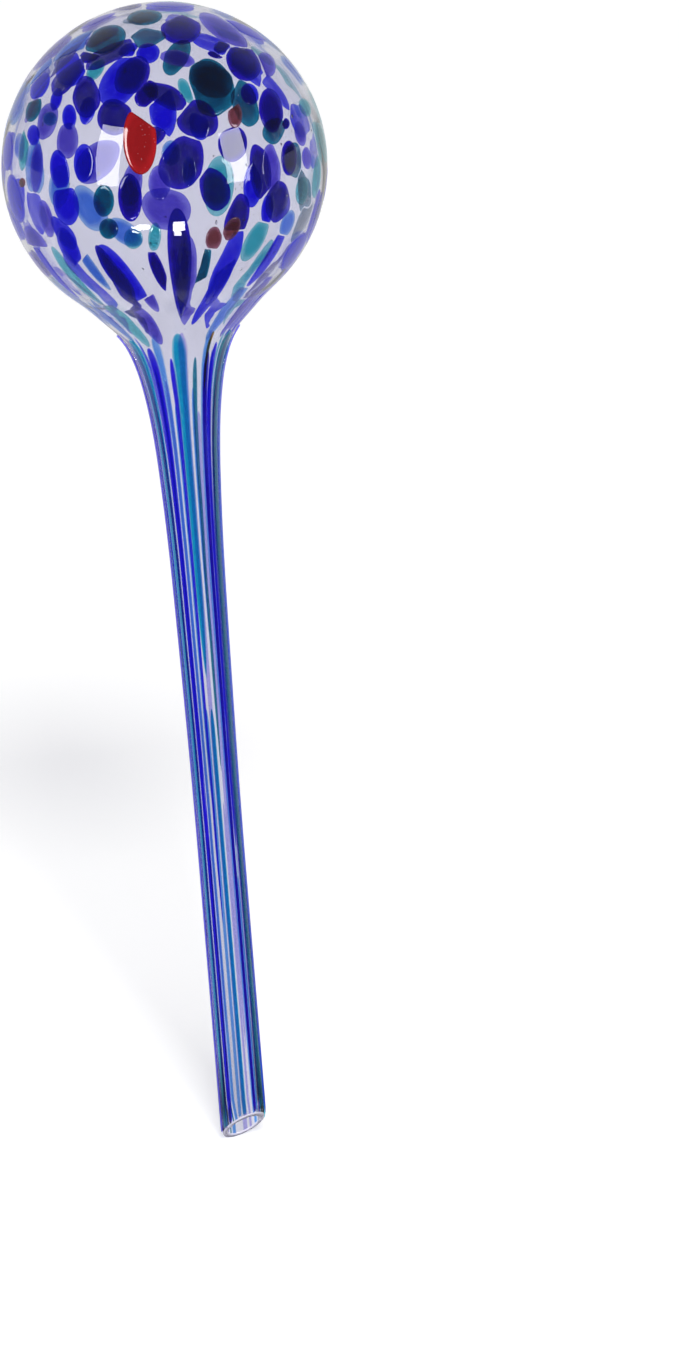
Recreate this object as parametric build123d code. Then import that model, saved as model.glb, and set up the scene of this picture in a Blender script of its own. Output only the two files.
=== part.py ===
# Watering globe: a blown clear glass ball drawn out into a long hollow stem with a slanted tip,
# with coloured glass chips melted into its outside, and chips near the neck drawn out into threads.
# Millimetres. The stem's axis is Z, and the tip's lowest point is at height 0.
from build123d import *
from math import cos, radians, sin, sqrt, tan
import os

# Ball
ball_diameter = 80.0
ball_wall = 2.0
ball_centre_height = 247.0

# Neck and stem
shoulder_angle = 37.0
neck_length = 143.0
stem_diameter = 10.7
stem_wall = 1.45

# Tip
tip_cut_angle = 36.0
tip_high_side_turn = -59.0

# Chips and threads, the least web of clear glass between two of them, and the width under which a chip is
# left out as a sliver. The overrun is how far the tools reach past what they cut.
chip_depth = 0.5
web = 0.35
sliver_width = 1.75
overrun = 2.0

# The front chips are placed along a sight line from the front, lifted and leaning by these angles.
sight_lift = 10.0
sight_lean = 4.7

ball_radius = ball_diameter / 2
stem_radius = stem_diameter / 2
ball_centre = Vector(0, 0, ball_centre_height)
shoulder_radius = ball_radius * sin(radians(shoulder_angle))
shoulder_height = ball_centre_height - ball_radius * cos(radians(shoulder_angle))
stem_top_height = shoulder_height - neck_length

# The neck's outline between the shoulder and the parallel stem: how far down the neck, and how much of the
# flare from the stem to the shoulder is left there.
neck_shares = [(0.024, 0.81), (0.083, 0.41), (0.19, 0.185), (0.363, 0.078), (0.61, 0.03)]

# Where along that outline a layer's inner outline is measured off.
neck_offset_shares = [0.05, 0.1, 0.18, 0.28, 0.4, 0.55, 0.75]

# Front chips of the ball, in hundredths of the ball's radius as the sight line shows them:
# across, up, width, height, lean in degrees, narrowing towards the top, colour. A place further out than the
# limb share of the radius is drawn in to it.
hundredth = 0.01
limb_share = 0.995
outline_points = 14
front_chip_shares = [
    # crown
    (10, 83, 25, 20, 0, 0.0, "navy"),
    (36, 82, 36, 12, -35, 0.0, "violet"),
    (-12, 90, 22, 10, 5, 0.0, "dark_teal"),
    (-36, 76, 27, 17, 25, 0.0, "dark_teal"),
    (35, 72, 11, 8, 30, 0.0, "navy"),
    (48, 63, 20, 26, 35, 0.1, "navy"),
    (62, 61, 12, 16, 20, 0.0, "violet"),
    (-10, 68, 15, 13, 10, 0.0, "royal_blue"),
    (-22, 70, 13, 9, 20, 0.0, "royal_blue"),
    (8, 65, 22, 10, -12, 0.2, "violet"),
    (31, 67, 10, 4, -15, 0.0, "navy"),
    # upper left
    (-45, 67, 15, 9, 25, 0.0, "navy"),
    (-42, 58, 9, 16, -35, 0.0, "turquoise"),
    (-57, 58, 19, 23, -25, -0.1, "royal_blue"),
    (-76, 48, 10, 19, -28, 0.0, "royal_blue"),
    (-66, 40, 7, 15, -15, 0.0, "royal_blue"),
    (-25, 52, 23, 40, -38, 0.1, "royal_blue"),
    (-58, 29, 9, 16, 0, 0.0, "royal_blue"),
    (-47, 33, 10, 18, -12, -0.1, "royal_blue"),
    (-70, 28, 9, 9, 0, 0.0, "turquoise"),
    (-80, 34, 9, 17, -20, 0.0, "dark_teal"),
    (-80, 18, 8, 13, 0, 0.0, "royal_blue"),
    # upper middle and right
    (-11, 43, 14, 18, -30, 0.0, "navy"),
    (-1, 33, 17, 35, 5, 0.0, "royal_blue"),
    (13, 45, 8, 17, 25, 0.0, "turquoise"),
    (28, 47, 29, 37, 15, 0.1, "dark_teal"),
    (52, 43, 11, 14, 20, 0.0, "royal_blue"),
    (21, 24, 13, 19, 15, 0.0, "royal_blue"),
    (43, 30, 9, 16, 0, 0.0, "brown"),
    (65, 33, 15, 28, 8, 0.0, "navy"),
    (74, 25, 5, 7, 0, 0.0, "navy"),
    (78, 52, 9, 22, 32, 0.0, "violet"),
    (83, 19, 7, 16, 12, 0.0, "violet"),
    (86, 35, 7, 12, 20, 0.0, "turquoise"),
    # middle band
    (-15, 15, 21, 43, 2, 0.0, "red"),
    (-49, 1, 13, 24, 0, 0.0, "royal_blue"),
    (-64, -3, 12, 25, 8, 0.1, "royal_blue"),
    (-78, -2, 8, 31, -3, 0.0, "violet"),
    (-86, 9, 6, 26, -5, 0.0, "turquoise"),
    (-87, -11, 4, 6, 0, 0.0, "brown"),
    (4, 7, 12, 16, 0, 0.0, "light_blue"),
    (-3, -11, 14, 22, 0, 0.0, "violet"),
    (15, -4, 9, 19, 0, 0.0, "light_blue"),
    (33, -13, 19, 38, -5, 0.0, "turquoise"),
    (54, -12, 12, 29, -5, 0.0, "royal_blue"),
    (65, -3, 12, 32, 3, 0.0, "violet"),
    (76, 4, 10, 22, 0, 0.0, "navy"),
    (87, 4, 6, 14, 5, 0.0, "violet"),
    (84, -16, 8, 18, -5, 0.0, "turquoise"),
    # lower band
    (-60, -24, 16, 27, 10, 0.0, "royal_blue"),
    (-72, -33, 8, 24, 14, 0.0, "violet"),
    (-37, -22, 13, 20, 0, 0.0, "dark_teal"),
    (-21, -20, 15, 30, 3, 0.0, "navy"),
    (-34, -39, 12, 13, 10, 0.0, "dark_teal"),
    (-58, -51, 11, 28, 26, -0.1, "royal_blue"),
    (-19, -45, 12, 13, 0, 0.0, "turquoise"),
    (-6, -44, 8, 18, -5, 0.0, "turquoise"),
    (30, -45, 10, 15, -10, 0.0, "brown"),
    (41, -39, 9, 16, -30, 0.0, "brown"),
    (63, -27, 8, 20, -8, 0.0, "royal_blue"),
    (75, -36, 8, 18, -20, 0.0, "light_blue"),
    (55, -46, 11, 30, -30, 0.0, "turquoise"),
]

# Chips on the rest of the ball follow an even spiral, outside the front chips' zone about the sight line and
# the drops' zone about the neck. Their sizes, in hundredths of the ball's radius, leans and colours come
# round in turn.
spiral_chips = 150
spiral_turn = 137.508
spiral_narrowing = 0.1
front_zone_angle = 64.0
drop_zone_angle = 56.0
spiral_width_shares = [24, 17, 21, 28, 15, 23, 19]
spiral_height_shares = [31, 27, 37, 33, 24]
spiral_leans = [10, -25, 35, 0, -15, 60, -40, 20, 80, -55, 30]
spiral_colours = [
    "royal_blue", "navy", "royal_blue", "turquoise", "violet", "royal_blue", "dark_teal", "royal_blue",
    "light_blue", "navy", "violet", "royal_blue", "light_blue",
]

# Long drops on the shoulder, drawn towards the neck: turn about the axis from the front in degrees, distance
# of the middle below the ball's centre, length and width as shares of the ball's radius, narrowing
# downwards, lean in degrees, colour.
drop_shares = [
    (3, 0.485, 0.79, 0.14, 0.4, 0, "navy"),
    (-22, 0.525, 0.47, 0.17, 0.1, 22, "royal_blue"),
    (20, 0.65, 0.58, 0.11, 0.3, -16, "royal_blue"),
    (-6, 0.50, 0.31, 0.08, 0.1, 12, "navy"),
    (12, 0.53, 0.42, 0.08, 0.2, -8, "dark_teal"),
    (-13, 0.68, 0.26, 0.08, 0.1, 10, "violet"),
    (44, 0.51, 0.42, 0.10, 0.1, -23, "royal_blue"),
    (-34, 0.47, 0.34, 0.08, 0.1, 18, "light_blue"),
    (58, 0.48, 0.40, 0.09, 0.2, -16, "violet"),
    (-47, 0.55, 0.44, 0.10, 0.2, 16, "turquoise"),
    (-61, 0.52, 0.42, 0.10, 0.2, 12, "royal_blue"),
    (-38, 0.88, 0.40, 0.12, 0.2, 8, "turquoise"),
    (-21, 0.90, 0.32, 0.11, 0.2, 6, "violet"),
    (34, 0.84, 0.44, 0.10, 0.2, -10, "light_blue"),
    (50, 0.84, 0.44, 0.10, 0.3, -8, "violet"),
    (-54, 0.88, 0.36, 0.10, 0.2, 8, "light_blue"),
    (-70, 0.82, 0.48, 0.14, 0.3, 8, "light_blue"),
    (70, 0.84, 0.50, 0.14, 0.3, -8, "royal_blue"),
    (-92, 0.84, 0.44, 0.13, 0.3, 6, "violet"),
    (96, 0.84, 0.46, 0.12, 0.3, -6, "navy"),
    (-117, 0.82, 0.50, 0.15, 0.3, 6, "royal_blue"),
    (121, 0.84, 0.44, 0.13, 0.3, -6, "turquoise"),
    (-142, 0.84, 0.48, 0.12, 0.3, 0, "navy"),
    (146, 0.82, 0.50, 0.15, 0.3, 0, "royal_blue"),
    (172, 0.84, 0.46, 0.13, 0.3, 0, "violet"),
]

# Threads of the neck and stem: turn about the axis from the front and width in degrees, top and bottom as
# shares of the way down from the shoulder to the tip, colour.
thread_shares = [
    (-81, 15, 0.04, 1.0, "navy"),
    (-66, 6, 0.06, 0.70, "lavender"),
    (-52, 16, 0.04, 1.0, "turquoise"),
    (-34, 12, 0.05, 1.0, "royal_blue"),
    (-23, 6, 0.09, 0.88, "lavender"),
    (-14, 5, 0.12, 0.60, "light_blue"),
    (-1, 17, 0.03, 0.46, "turquoise"),
    (-8, 10, 0.48, 1.0, "light_blue"),
    (5, 12, 0.48, 1.0, "turquoise"),
    (14, 6, 0.10, 0.42, "light_blue"),
    (22, 9, 0.13, 0.90, "lavender"),
    (33, 8, 0.06, 1.0, "navy"),
    (42, 7, 0.05, 0.66, "royal_blue"),
    (43, 6, 0.68, 1.0, "light_blue"),
    (58, 16, 0.04, 1.0, "teal"),
    (73, 7, 0.07, 0.92, "lavender"),
    (85, 13, 0.04, 1.0, "navy"),
    (32, 3, 0.035, 0.11, "amber"),
    (104, 14, 0.05, 1.0, "turquoise"),
    (122, 10, 0.07, 0.80, "royal_blue"),
    (139, 14, 0.05, 1.0, "light_blue"),
    (158, 10, 0.08, 0.58, "teal"),
    (158, 9, 0.60, 1.0, "lavender"),
    (176, 14, 0.05, 1.0, "lavender"),
    (-166, 9, 0.08, 0.76, "royal_blue"),
    (-149, 14, 0.05, 1.0, "light_blue"),
    (-131, 9, 0.09, 0.62, "turquoise"),
    (-131, 8, 0.64, 1.0, "teal"),
    (-115, 12, 0.05, 1.0, "royal_blue"),
    (-98, 9, 0.07, 0.90, "lavender"),
]


def neck_point(down_share, flare_share):
    """A place on the neck's outline, in the X-Z plane."""
    radius = stem_radius + flare_share * (shoulder_radius - stem_radius)
    return Vector(radius, 0, shoulder_height - down_share * neck_length)


# The outline of the outside, from the shoulder down to the parallel stem.
shoulder_point = Vector(shoulder_radius, 0, shoulder_height)
shoulder_slope = Vector(-cos(radians(shoulder_angle)), 0, -sin(radians(shoulder_angle)))
stem_top_point = Vector(stem_radius, 0, stem_top_height)
neck_outline = Spline(
    shoulder_point,
    *[neck_point(down, flare) for down, flare in neck_shares],
    stem_top_point,
    tangents=[shoulder_slope, Vector(0, 0, -1)],
)


def depth_of_wall(height):
    """The wall's thickness, which thins evenly from the shoulder to the parallel stem."""
    share = (shoulder_height - height) / neck_length
    return ball_wall + (stem_wall - ball_wall) * min(max(share, 0), 1)


def depth_of_chips(height):
    """How deep chips and threads reach, the same at every height."""
    return chip_depth


def inward(place_share, depth_at):
    """The point under a place on the neck's outline, square to it, at the depth there."""
    point = neck_outline.position_at(place_share)
    slope = neck_outline.tangent_at(place_share)
    return point + Vector(slope.Z, 0, -slope.X) * depth_at(point.Z)


def ball_outline(start, end):
    """A part of the ball's outline between two directions from its centre, as an arc through their middle."""
    middle = (start + end).normalized() * start.length
    return ThreePointArc(ball_centre + start, ball_centre + middle, ball_centre + end)


def turned_solid(neck, radius, stem_side):
    """The solid of revolution from the crown of the ball to below the tip."""
    crown = Vector(0, 0, radius)
    waist = Vector(radius, 0, 0)
    foot = Vector(stem_side.X, 0, -overrun)
    outline = [
        ball_outline(crown, waist),
        ball_outline(waist, neck.position_at(0) - ball_centre),
        neck,
        Line(stem_side, foot),
        Line(foot, (0, 0, -overrun)),
        Line((0, 0, -overrun), ball_centre + crown),
    ]
    return revolve(make_face(outline), Axis.Z)


def hollow(depth_at):
    """The solid that stays when a layer of the depth at each height is taken off the outside."""
    start, end = inward(0, depth_at), inward(1, depth_at)
    between = [inward(share, depth_at) for share in neck_offset_shares]
    neck = Spline(start, *between, end, tangents=[shoulder_slope, Vector(0, 0, -1)])
    return turned_solid(neck, ball_radius - depth_at(shoulder_height), end)


def below_the_tip():
    """What lies under the slanted cut, whose lowest edge is at height 0."""
    drop = stem_radius * tan(radians(tip_cut_angle))
    slant = Location((0, 0, drop)) * Rotation(0, 0, tip_high_side_turn) * Rotation(0, -tip_cut_angle, 0)
    return slant * Box(ball_diameter, ball_diameter, stem_diameter * 2, align=(Align.CENTER, Align.CENTER, Align.MAX))


def egg(width, height, narrowing, lean):
    """A melted chip's outline as points about its middle, narrower or wider towards the top."""
    points = []
    swing = radians(lean)
    for step in range(outline_points):
        turn = radians(360 * step / outline_points)
        across = width / 2 * cos(turn) * (1 - narrowing * sin(turn))
        up = height / 2 * sin(turn)
        points.append((across * cos(swing) - up * sin(swing), across * sin(swing) + up * cos(swing)))
    return points


def sight_directions():
    """Right, up and towards the viewer, for the sight line of the front chips."""
    lift, lean = radians(sight_lift), radians(sight_lean)
    level_right = Vector(1, 0, 0)
    level_up = Vector(0, sin(lift), cos(lift))
    right = level_right * cos(lean) - level_up * sin(lean)
    up = level_right * sin(lean) + level_up * cos(lean)
    return right, up, Vector(0, -cos(lift), sin(lift))


sight_right, sight_up, viewer = sight_directions()


def towards(across, up):
    """The direction from the ball's centre to a place that the sight line shows, in shares of the radius."""
    far = sqrt(across * across + up * up)
    if far > limb_share:
        across, up = across * limb_share / far, up * limb_share / far
    return sight_right * across + sight_up * up + viewer * sqrt(1 - across * across - up * up)


def prism(plane, outline, above, below):
    """A closed outline in a plane, made a prism from above the plane to below it."""
    start = Plane(plane.origin + plane.z_dir * above, plane.x_dir, plane.z_dir)
    face = start * make_face(Polyline(*outline, close=True))
    return extrude(face, amount=above + below, dir=-plane.z_dir)


def front_chip(row):
    """The tool of a front chip, and the wider tool that keeps the web clear round it."""
    across, up, width, height, lean, narrowing, _ = row
    middle = towards(across * hundredth, up * hundredth)
    plane = Plane(origin=ball_centre + middle * ball_radius, z_dir=middle)
    tools = []
    for border in (0, web / ball_radius / hundredth):
        flat = []
        for x, y in egg(width + 2 * border, height + 2 * border, narrowing, lean):
            lifted = towards((across + x) * hundredth, (up + y) * hundredth)
            point = plane.to_local_coords(ball_centre + lifted * ball_radius)
            flat.append((point.X, point.Y))
        tools.append(prism(plane, flat, overrun, chip_depth + overrun * 2))
    return tools


def spiral_chip(number):
    """As front_chip, for a chip of the even spiral, or None where other chips have the place."""
    height = 1 - (2 * number + 1) / spiral_chips
    turn = radians(spiral_turn * number)
    level = sqrt(1 - height * height)
    middle = Vector(level * cos(turn), level * sin(turn), height)
    in_front = middle.dot(viewer) > cos(radians(front_zone_angle))
    if in_front or -height > cos(radians(drop_zone_angle)):
        return None
    width = spiral_width_shares[number % len(spiral_width_shares)] * hundredth * ball_radius
    length = spiral_height_shares[number % len(spiral_height_shares)] * hundredth * ball_radius
    lean = spiral_leans[number % len(spiral_leans)]
    plane = Plane(ball_centre + middle * ball_radius, Vector(0, 0, 1).cross(middle), middle)
    tools = []
    for border in (0, web):
        outline = egg(width + 2 * border, length + 2 * border, spiral_narrowing, lean)
        tools.append(prism(plane, outline, overrun, chip_depth + overrun * 2))
    return tools


def drop_chip(row):
    """As front_chip, for a long drop on the shoulder."""
    turn, down, length, width, narrowing, lean, _ = row
    outward = Vector(sin(radians(turn)), -cos(radians(turn)), 0)
    place = ball_centre - Vector(0, 0, down * ball_radius)
    plane = Plane(place, Vector(0, 0, 1).cross(outward), outward)
    tools = []
    for border in (0, web):
        outline = egg(width * ball_radius + 2 * border, length * ball_radius + 2 * border, -narrowing, lean)
        tools.append(prism(plane, outline, ball_radius, 0))
    return tools


def thread_wedge(row):
    """As front_chip, for a thread: all between two planes through the axis and two heights."""
    turn, width, top, bottom, _ = row
    top_height = shoulder_height * (1 - top)
    bottom_height = shoulder_height * (1 - bottom) if bottom < 1 else -overrun
    half = radians(width / 2)
    side = Vector(cos(half), sin(half), 0) * ball_diameter
    face = make_face(Polyline((0, 0), (side.X, -side.Y), (side.X, side.Y), close=True))
    wedge = Rotation(0, 0, turn - 90) * extrude(face, top_height - bottom_height)
    wedge = Location((0, 0, bottom_height)) * wedge
    return [wedge, wedge]


def boxes_meet(a, b):
    """Whether two bounding boxes, one of them wider by the web, overlap."""
    apart = [a.min.X - b.max.X, a.min.Y - b.max.Y, a.min.Z - b.max.Z]
    apart += [b.min.X - a.max.X, b.min.Y - a.max.Y, b.min.Z - a.max.Z]
    return max(apart) < web


def largest(shape):
    """The largest solid of a cut, or None where only a sliver is left."""
    solids = sorted(shape.solids(), key=lambda solid: -solid.volume) if shape else []
    return solids[0] if solids and solids[0].volume > sliver_width * sliver_width * chip_depth else None


def melt_in(skin):
    """All chips and threads by node. One is cut back where an earlier one lies, with the web left between."""
    tools = [(row[-1] + "_chips", front_chip(row)) for row in front_chip_shares]
    tools += [(row[-1] + "_chips", drop_chip(row)) for row in drop_shares]
    for number in range(spiral_chips):
        chip = spiral_chip(number)
        if chip:
            tools.append((spiral_colours[number % len(spiral_colours)] + "_chips", chip))
    tools += [(row[-1] + "_threads", thread_wedge(row)) for row in thread_shares]
    nodes, earlier = {}, []
    for node, (tool, keep_out) in tools:
        piece = skin & tool
        box = piece.bounding_box()
        near = [other for other_box, other in earlier if boxes_meet(box, other_box)]
        solid = largest(piece - near if near else piece)
        if solid:
            nodes.setdefault(node, []).append(solid)
            if node.endswith("_chips"):
                earlier.append((box, keep_out))
    return nodes


def write(node, solids):
    """One STEP file for a node, whose name is in the singular when it holds one piece."""
    if len(solids) > 1:
        export_step(Compound(children=solids), f"parts/{node}.step")
    else:
        export_step(solids[0], f"parts/{node.removesuffix('s')}.step")


outside = turned_solid(neck_outline, ball_radius, stem_top_point)
tip = below_the_tip()
skin = outside - hollow(depth_of_chips) - tip
nodes = melt_in(skin)
inlaid = [solid for solids in nodes.values() for solid in solids]
globe = outside - hollow(depth_of_wall) - tip - inlaid

os.makedirs("parts", exist_ok=True)
write("clear_globe", list(globe.solids()))
for node, solids in nodes.items():
    write(node, solids)
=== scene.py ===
import random
from math import atan2, cos, degrees, pi, radians, sin, sqrt, tan

import bpy
from mathutils import Matrix, Vector


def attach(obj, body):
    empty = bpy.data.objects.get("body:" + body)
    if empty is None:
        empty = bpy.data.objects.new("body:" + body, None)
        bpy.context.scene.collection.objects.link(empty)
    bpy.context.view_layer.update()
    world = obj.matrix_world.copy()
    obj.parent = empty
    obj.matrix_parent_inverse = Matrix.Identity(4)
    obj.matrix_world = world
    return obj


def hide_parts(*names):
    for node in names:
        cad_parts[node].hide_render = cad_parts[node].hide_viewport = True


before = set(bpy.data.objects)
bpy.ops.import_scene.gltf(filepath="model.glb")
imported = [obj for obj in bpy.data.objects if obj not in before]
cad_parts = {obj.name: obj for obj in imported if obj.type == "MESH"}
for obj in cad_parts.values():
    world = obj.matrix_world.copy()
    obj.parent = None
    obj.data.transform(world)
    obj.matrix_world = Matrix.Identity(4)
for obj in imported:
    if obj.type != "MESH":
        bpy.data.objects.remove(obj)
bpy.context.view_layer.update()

# Sizes in metres
mm = 0.001
ball_radius = 40 * mm
ball_centre = Vector((0, 0, 247 * mm))
ball_wall = 2.0 * mm
shoulder_angle = radians(37)
neck_length = 143 * mm
stem_radius = 5.35 * mm
stem_wall = 1.45 * mm
tip_cut_angle = radians(36)
tip_high_side_turn = radians(-59)
lip_round = 0.3 * mm
below_tip = 3 * mm

chip_depth = 0.5 * mm
chip_stand = 0.05 * mm
thread_depth = 0.42 * mm
thread_stand = 0.07 * mm
web = 0.3 * mm

# The sight line from the ball to the camera, lifted and leaning by these angles
sight_lift = radians(10)
sight_lean = radians(4.7)

shoulder_radius = ball_radius * sin(shoulder_angle)
shoulder_height = ball_centre.z - ball_radius * cos(shoulder_angle)
stem_top_height = shoulder_height - neck_length

# How much of the flare from the stem to the shoulder is left at shares of the way down the neck
neck_shares = [(0, 1), (0.024, 0.81), (0.083, 0.41), (0.19, 0.185), (0.363, 0.078), (0.61, 0.03), (1, 0)]

# Front chips of the ball, in hundredths of the ball's radius as the sight line shows them:
# across, up, width, height, lean in degrees, narrowing towards the top, colour.
hundredth = 0.01
front_chip_shares = [
    # crown
    (10, 83, 25, 20, 0, 0.0, "navy"),
    (36, 82, 36, 12, -35, 0.0, "violet"),
    (-12, 90, 22, 10, 5, 0.0, "dark_teal"),
    (-36, 76, 27, 17, 25, 0.0, "dark_teal"),
    (35, 72, 11, 8, 30, 0.0, "navy"),
    (48, 63, 20, 26, 35, 0.1, "navy"),
    (62, 61, 12, 16, 20, 0.0, "violet"),
    (-10, 68, 15, 13, 10, 0.0, "royal_blue"),
    (-22, 70, 13, 9, 20, 0.0, "royal_blue"),
    (8, 65, 22, 10, -12, 0.2, "violet"),
    (31, 67, 10, 4, -15, 0.0, "navy"),
    # upper left
    (-45, 67, 15, 9, 25, 0.0, "navy"),
    (-42, 58, 9, 16, -35, 0.0, "turquoise"),
    (-57, 58, 19, 23, -25, -0.1, "royal_blue"),
    (-76, 48, 10, 19, -28, 0.0, "royal_blue"),
    (-66, 40, 7, 15, -15, 0.0, "royal_blue"),
    (-25, 52, 23, 40, -38, 0.1, "royal_blue"),
    (-58, 29, 9, 16, 0, 0.0, "royal_blue"),
    (-47, 33, 10, 18, -12, -0.1, "royal_blue"),
    (-70, 28, 9, 9, 0, 0.0, "turquoise"),
    (-80, 34, 9, 17, -20, 0.0, "dark_teal"),
    (-80, 18, 8, 13, 0, 0.0, "royal_blue"),
    # upper middle and right
    (-11, 43, 14, 18, -30, 0.0, "navy"),
    (-1, 33, 17, 35, 5, 0.0, "royal_blue"),
    (13, 45, 8, 17, 25, 0.0, "turquoise"),
    (28, 47, 29, 37, 15, 0.1, "dark_teal"),
    (52, 43, 11, 14, 20, 0.0, "royal_blue"),
    (21, 24, 13, 19, 15, 0.0, "royal_blue"),
    (43, 30, 9, 16, 0, 0.0, "brown"),
    (65, 33, 15, 28, 8, 0.0, "navy"),
    (74, 25, 5, 7, 0, 0.0, "navy"),
    (78, 52, 9, 22, 32, 0.0, "violet"),
    (83, 19, 7, 16, 12, 0.0, "violet"),
    (86, 35, 7, 12, 20, 0.0, "turquoise"),
    # middle band
    (-15, 15, 21, 43, 2, 0.0, "red"),
    (-49, 1, 13, 24, 0, 0.0, "royal_blue"),
    (-64, -3, 12, 25, 8, 0.1, "royal_blue"),
    (-78, -2, 8, 31, -3, 0.0, "violet"),
    (-86, 9, 6, 26, -5, 0.0, "turquoise"),
    (-87, -11, 4, 6, 0, 0.0, "brown"),
    (4, 7, 12, 16, 0, 0.0, "light_blue"),
    (-3, -11, 14, 22, 0, 0.0, "violet"),
    (15, -4, 9, 19, 0, 0.0, "light_blue"),
    (33, -13, 19, 38, -5, 0.0, "turquoise"),
    (54, -12, 12, 29, -5, 0.0, "royal_blue"),
    (65, -3, 12, 32, 3, 0.0, "violet"),
    (76, 4, 10, 22, 0, 0.0, "navy"),
    (87, 4, 6, 14, 5, 0.0, "violet"),
    (84, -16, 8, 18, -5, 0.0, "turquoise"),
    # lower band
    (-60, -24, 16, 27, 10, 0.0, "royal_blue"),
    (-72, -33, 8, 24, 14, 0.0, "violet"),
    (-37, -22, 13, 20, 0, 0.0, "dark_teal"),
    (-21, -20, 15, 30, 3, 0.0, "navy"),
    (-34, -39, 12, 13, 10, 0.0, "dark_teal"),
    (-58, -51, 11, 28, 26, -0.1, "royal_blue"),
    (-19, -45, 12, 13, 0, 0.0, "turquoise"),
    (-6, -44, 8, 18, -5, 0.0, "turquoise"),
    (30, -45, 10, 15, -10, 0.0, "brown"),
    (41, -39, 9, 16, -30, 0.0, "brown"),
    (63, -27, 8, 20, -8, 0.0, "royal_blue"),
    (75, -36, 8, 18, -20, 0.0, "light_blue"),
    (55, -46, 11, 30, -30, 0.0, "turquoise"),
]

# Chips on the rest of the ball follow an even spiral, outside the front chips' zone about the sight line and
# the drops' zone about the neck. Their sizes, in hundredths of the ball's radius, leans and colours come
# round in turn.
spiral_chips = 150
spiral_turn = radians(137.508)
spiral_narrowing = 0.1
front_zone_angle = radians(64)
drop_zone_angle = radians(56)
spiral_width_shares = [24, 17, 21, 28, 15, 23, 19]
spiral_height_shares = [31, 27, 37, 33, 24]
spiral_leans = [10, -25, 35, 0, -15, 60, -40, 20, 80, -55, 30]
spiral_colours = [
    "royal_blue", "navy", "royal_blue", "turquoise", "violet", "royal_blue", "dark_teal", "royal_blue",
    "light_blue", "navy", "violet", "royal_blue", "light_blue",
]

# Long drops on the shoulder, drawn towards the neck: turn about the axis from the front in degrees, distance
# of the middle below the ball's centre, length and width as shares of the ball's radius, narrowing
# downwards, lean in degrees, colour.
drop_shares = [
    (3, 0.485, 0.79, 0.14, 0.4, 0, "navy"),
    (-22, 0.525, 0.47, 0.17, 0.1, 22, "royal_blue"),
    (20, 0.65, 0.58, 0.11, 0.3, -16, "royal_blue"),
    (-6, 0.50, 0.31, 0.08, 0.1, 12, "navy"),
    (12, 0.53, 0.42, 0.08, 0.2, -8, "dark_teal"),
    (-13, 0.68, 0.26, 0.08, 0.1, 10, "violet"),
    (44, 0.51, 0.42, 0.10, 0.1, -23, "royal_blue"),
    (-34, 0.47, 0.34, 0.08, 0.1, 18, "light_blue"),
    (58, 0.48, 0.40, 0.09, 0.2, -16, "violet"),
    (-47, 0.55, 0.44, 0.10, 0.2, 16, "turquoise"),
    (-61, 0.52, 0.42, 0.10, 0.2, 12, "royal_blue"),
    (-38, 0.88, 0.40, 0.12, 0.2, 8, "turquoise"),
    (-21, 0.90, 0.32, 0.11, 0.2, 6, "violet"),
    (34, 0.84, 0.44, 0.10, 0.2, -10, "light_blue"),
    (50, 0.84, 0.44, 0.10, 0.3, -8, "violet"),
    (-54, 0.88, 0.36, 0.10, 0.2, 8, "light_blue"),
    (-70, 0.82, 0.48, 0.14, 0.3, 8, "light_blue"),
    (70, 0.84, 0.50, 0.14, 0.3, -8, "royal_blue"),
    (-92, 0.84, 0.44, 0.13, 0.3, 6, "violet"),
    (96, 0.84, 0.46, 0.12, 0.3, -6, "navy"),
    (-117, 0.82, 0.50, 0.15, 0.3, 6, "royal_blue"),
    (121, 0.84, 0.44, 0.13, 0.3, -6, "turquoise"),
    (-142, 0.84, 0.48, 0.12, 0.3, 0, "navy"),
    (146, 0.82, 0.50, 0.15, 0.3, 0, "royal_blue"),
    (172, 0.84, 0.46, 0.13, 0.3, 0, "violet"),
]

# Threads of the neck and stem: turn about the axis from the front and width in degrees, top and bottom as
# shares of the way down from the shoulder to the tip, colour.
thread_shares = [
    (-81, 15, 0.04, 1.0, "navy"),
    (-66, 6, 0.06, 0.70, "lavender"),
    (-52, 16, 0.04, 1.0, "turquoise"),
    (-34, 12, 0.05, 1.0, "royal_blue"),
    (-23, 6, 0.09, 0.88, "lavender"),
    (-14, 5, 0.12, 0.60, "light_blue"),
    (-1, 17, 0.03, 0.46, "turquoise"),
    (-8, 10, 0.48, 1.0, "light_blue"),
    (5, 12, 0.48, 1.0, "turquoise"),
    (14, 6, 0.10, 0.42, "light_blue"),
    (22, 9, 0.13, 0.90, "lavender"),
    (33, 8, 0.06, 1.0, "navy"),
    (42, 7, 0.05, 0.66, "royal_blue"),
    (43, 6, 0.68, 1.0, "light_blue"),
    (58, 16, 0.04, 1.0, "teal"),
    (73, 7, 0.07, 0.92, "lavender"),
    (85, 13, 0.04, 1.0, "navy"),
    (32, 3, 0.035, 0.11, "amber"),
    (104, 14, 0.05, 1.0, "turquoise"),
    (122, 10, 0.07, 0.80, "royal_blue"),
    (139, 14, 0.05, 1.0, "light_blue"),
    (158, 10, 0.08, 0.58, "teal"),
    (158, 9, 0.60, 1.0, "lavender"),
    (176, 14, 0.05, 1.0, "lavender"),
    (-166, 9, 0.08, 0.76, "royal_blue"),
    (-149, 14, 0.05, 1.0, "light_blue"),
    (-131, 9, 0.09, 0.62, "turquoise"),
    (-131, 8, 0.64, 1.0, "teal"),
    (-115, 12, 0.05, 1.0, "royal_blue"),
    (-98, 9, 0.07, 0.90, "lavender"),
]

# How wide a thread's end stays over its outermost levels
end_shares = [0, 0.5, 0.8]

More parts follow.
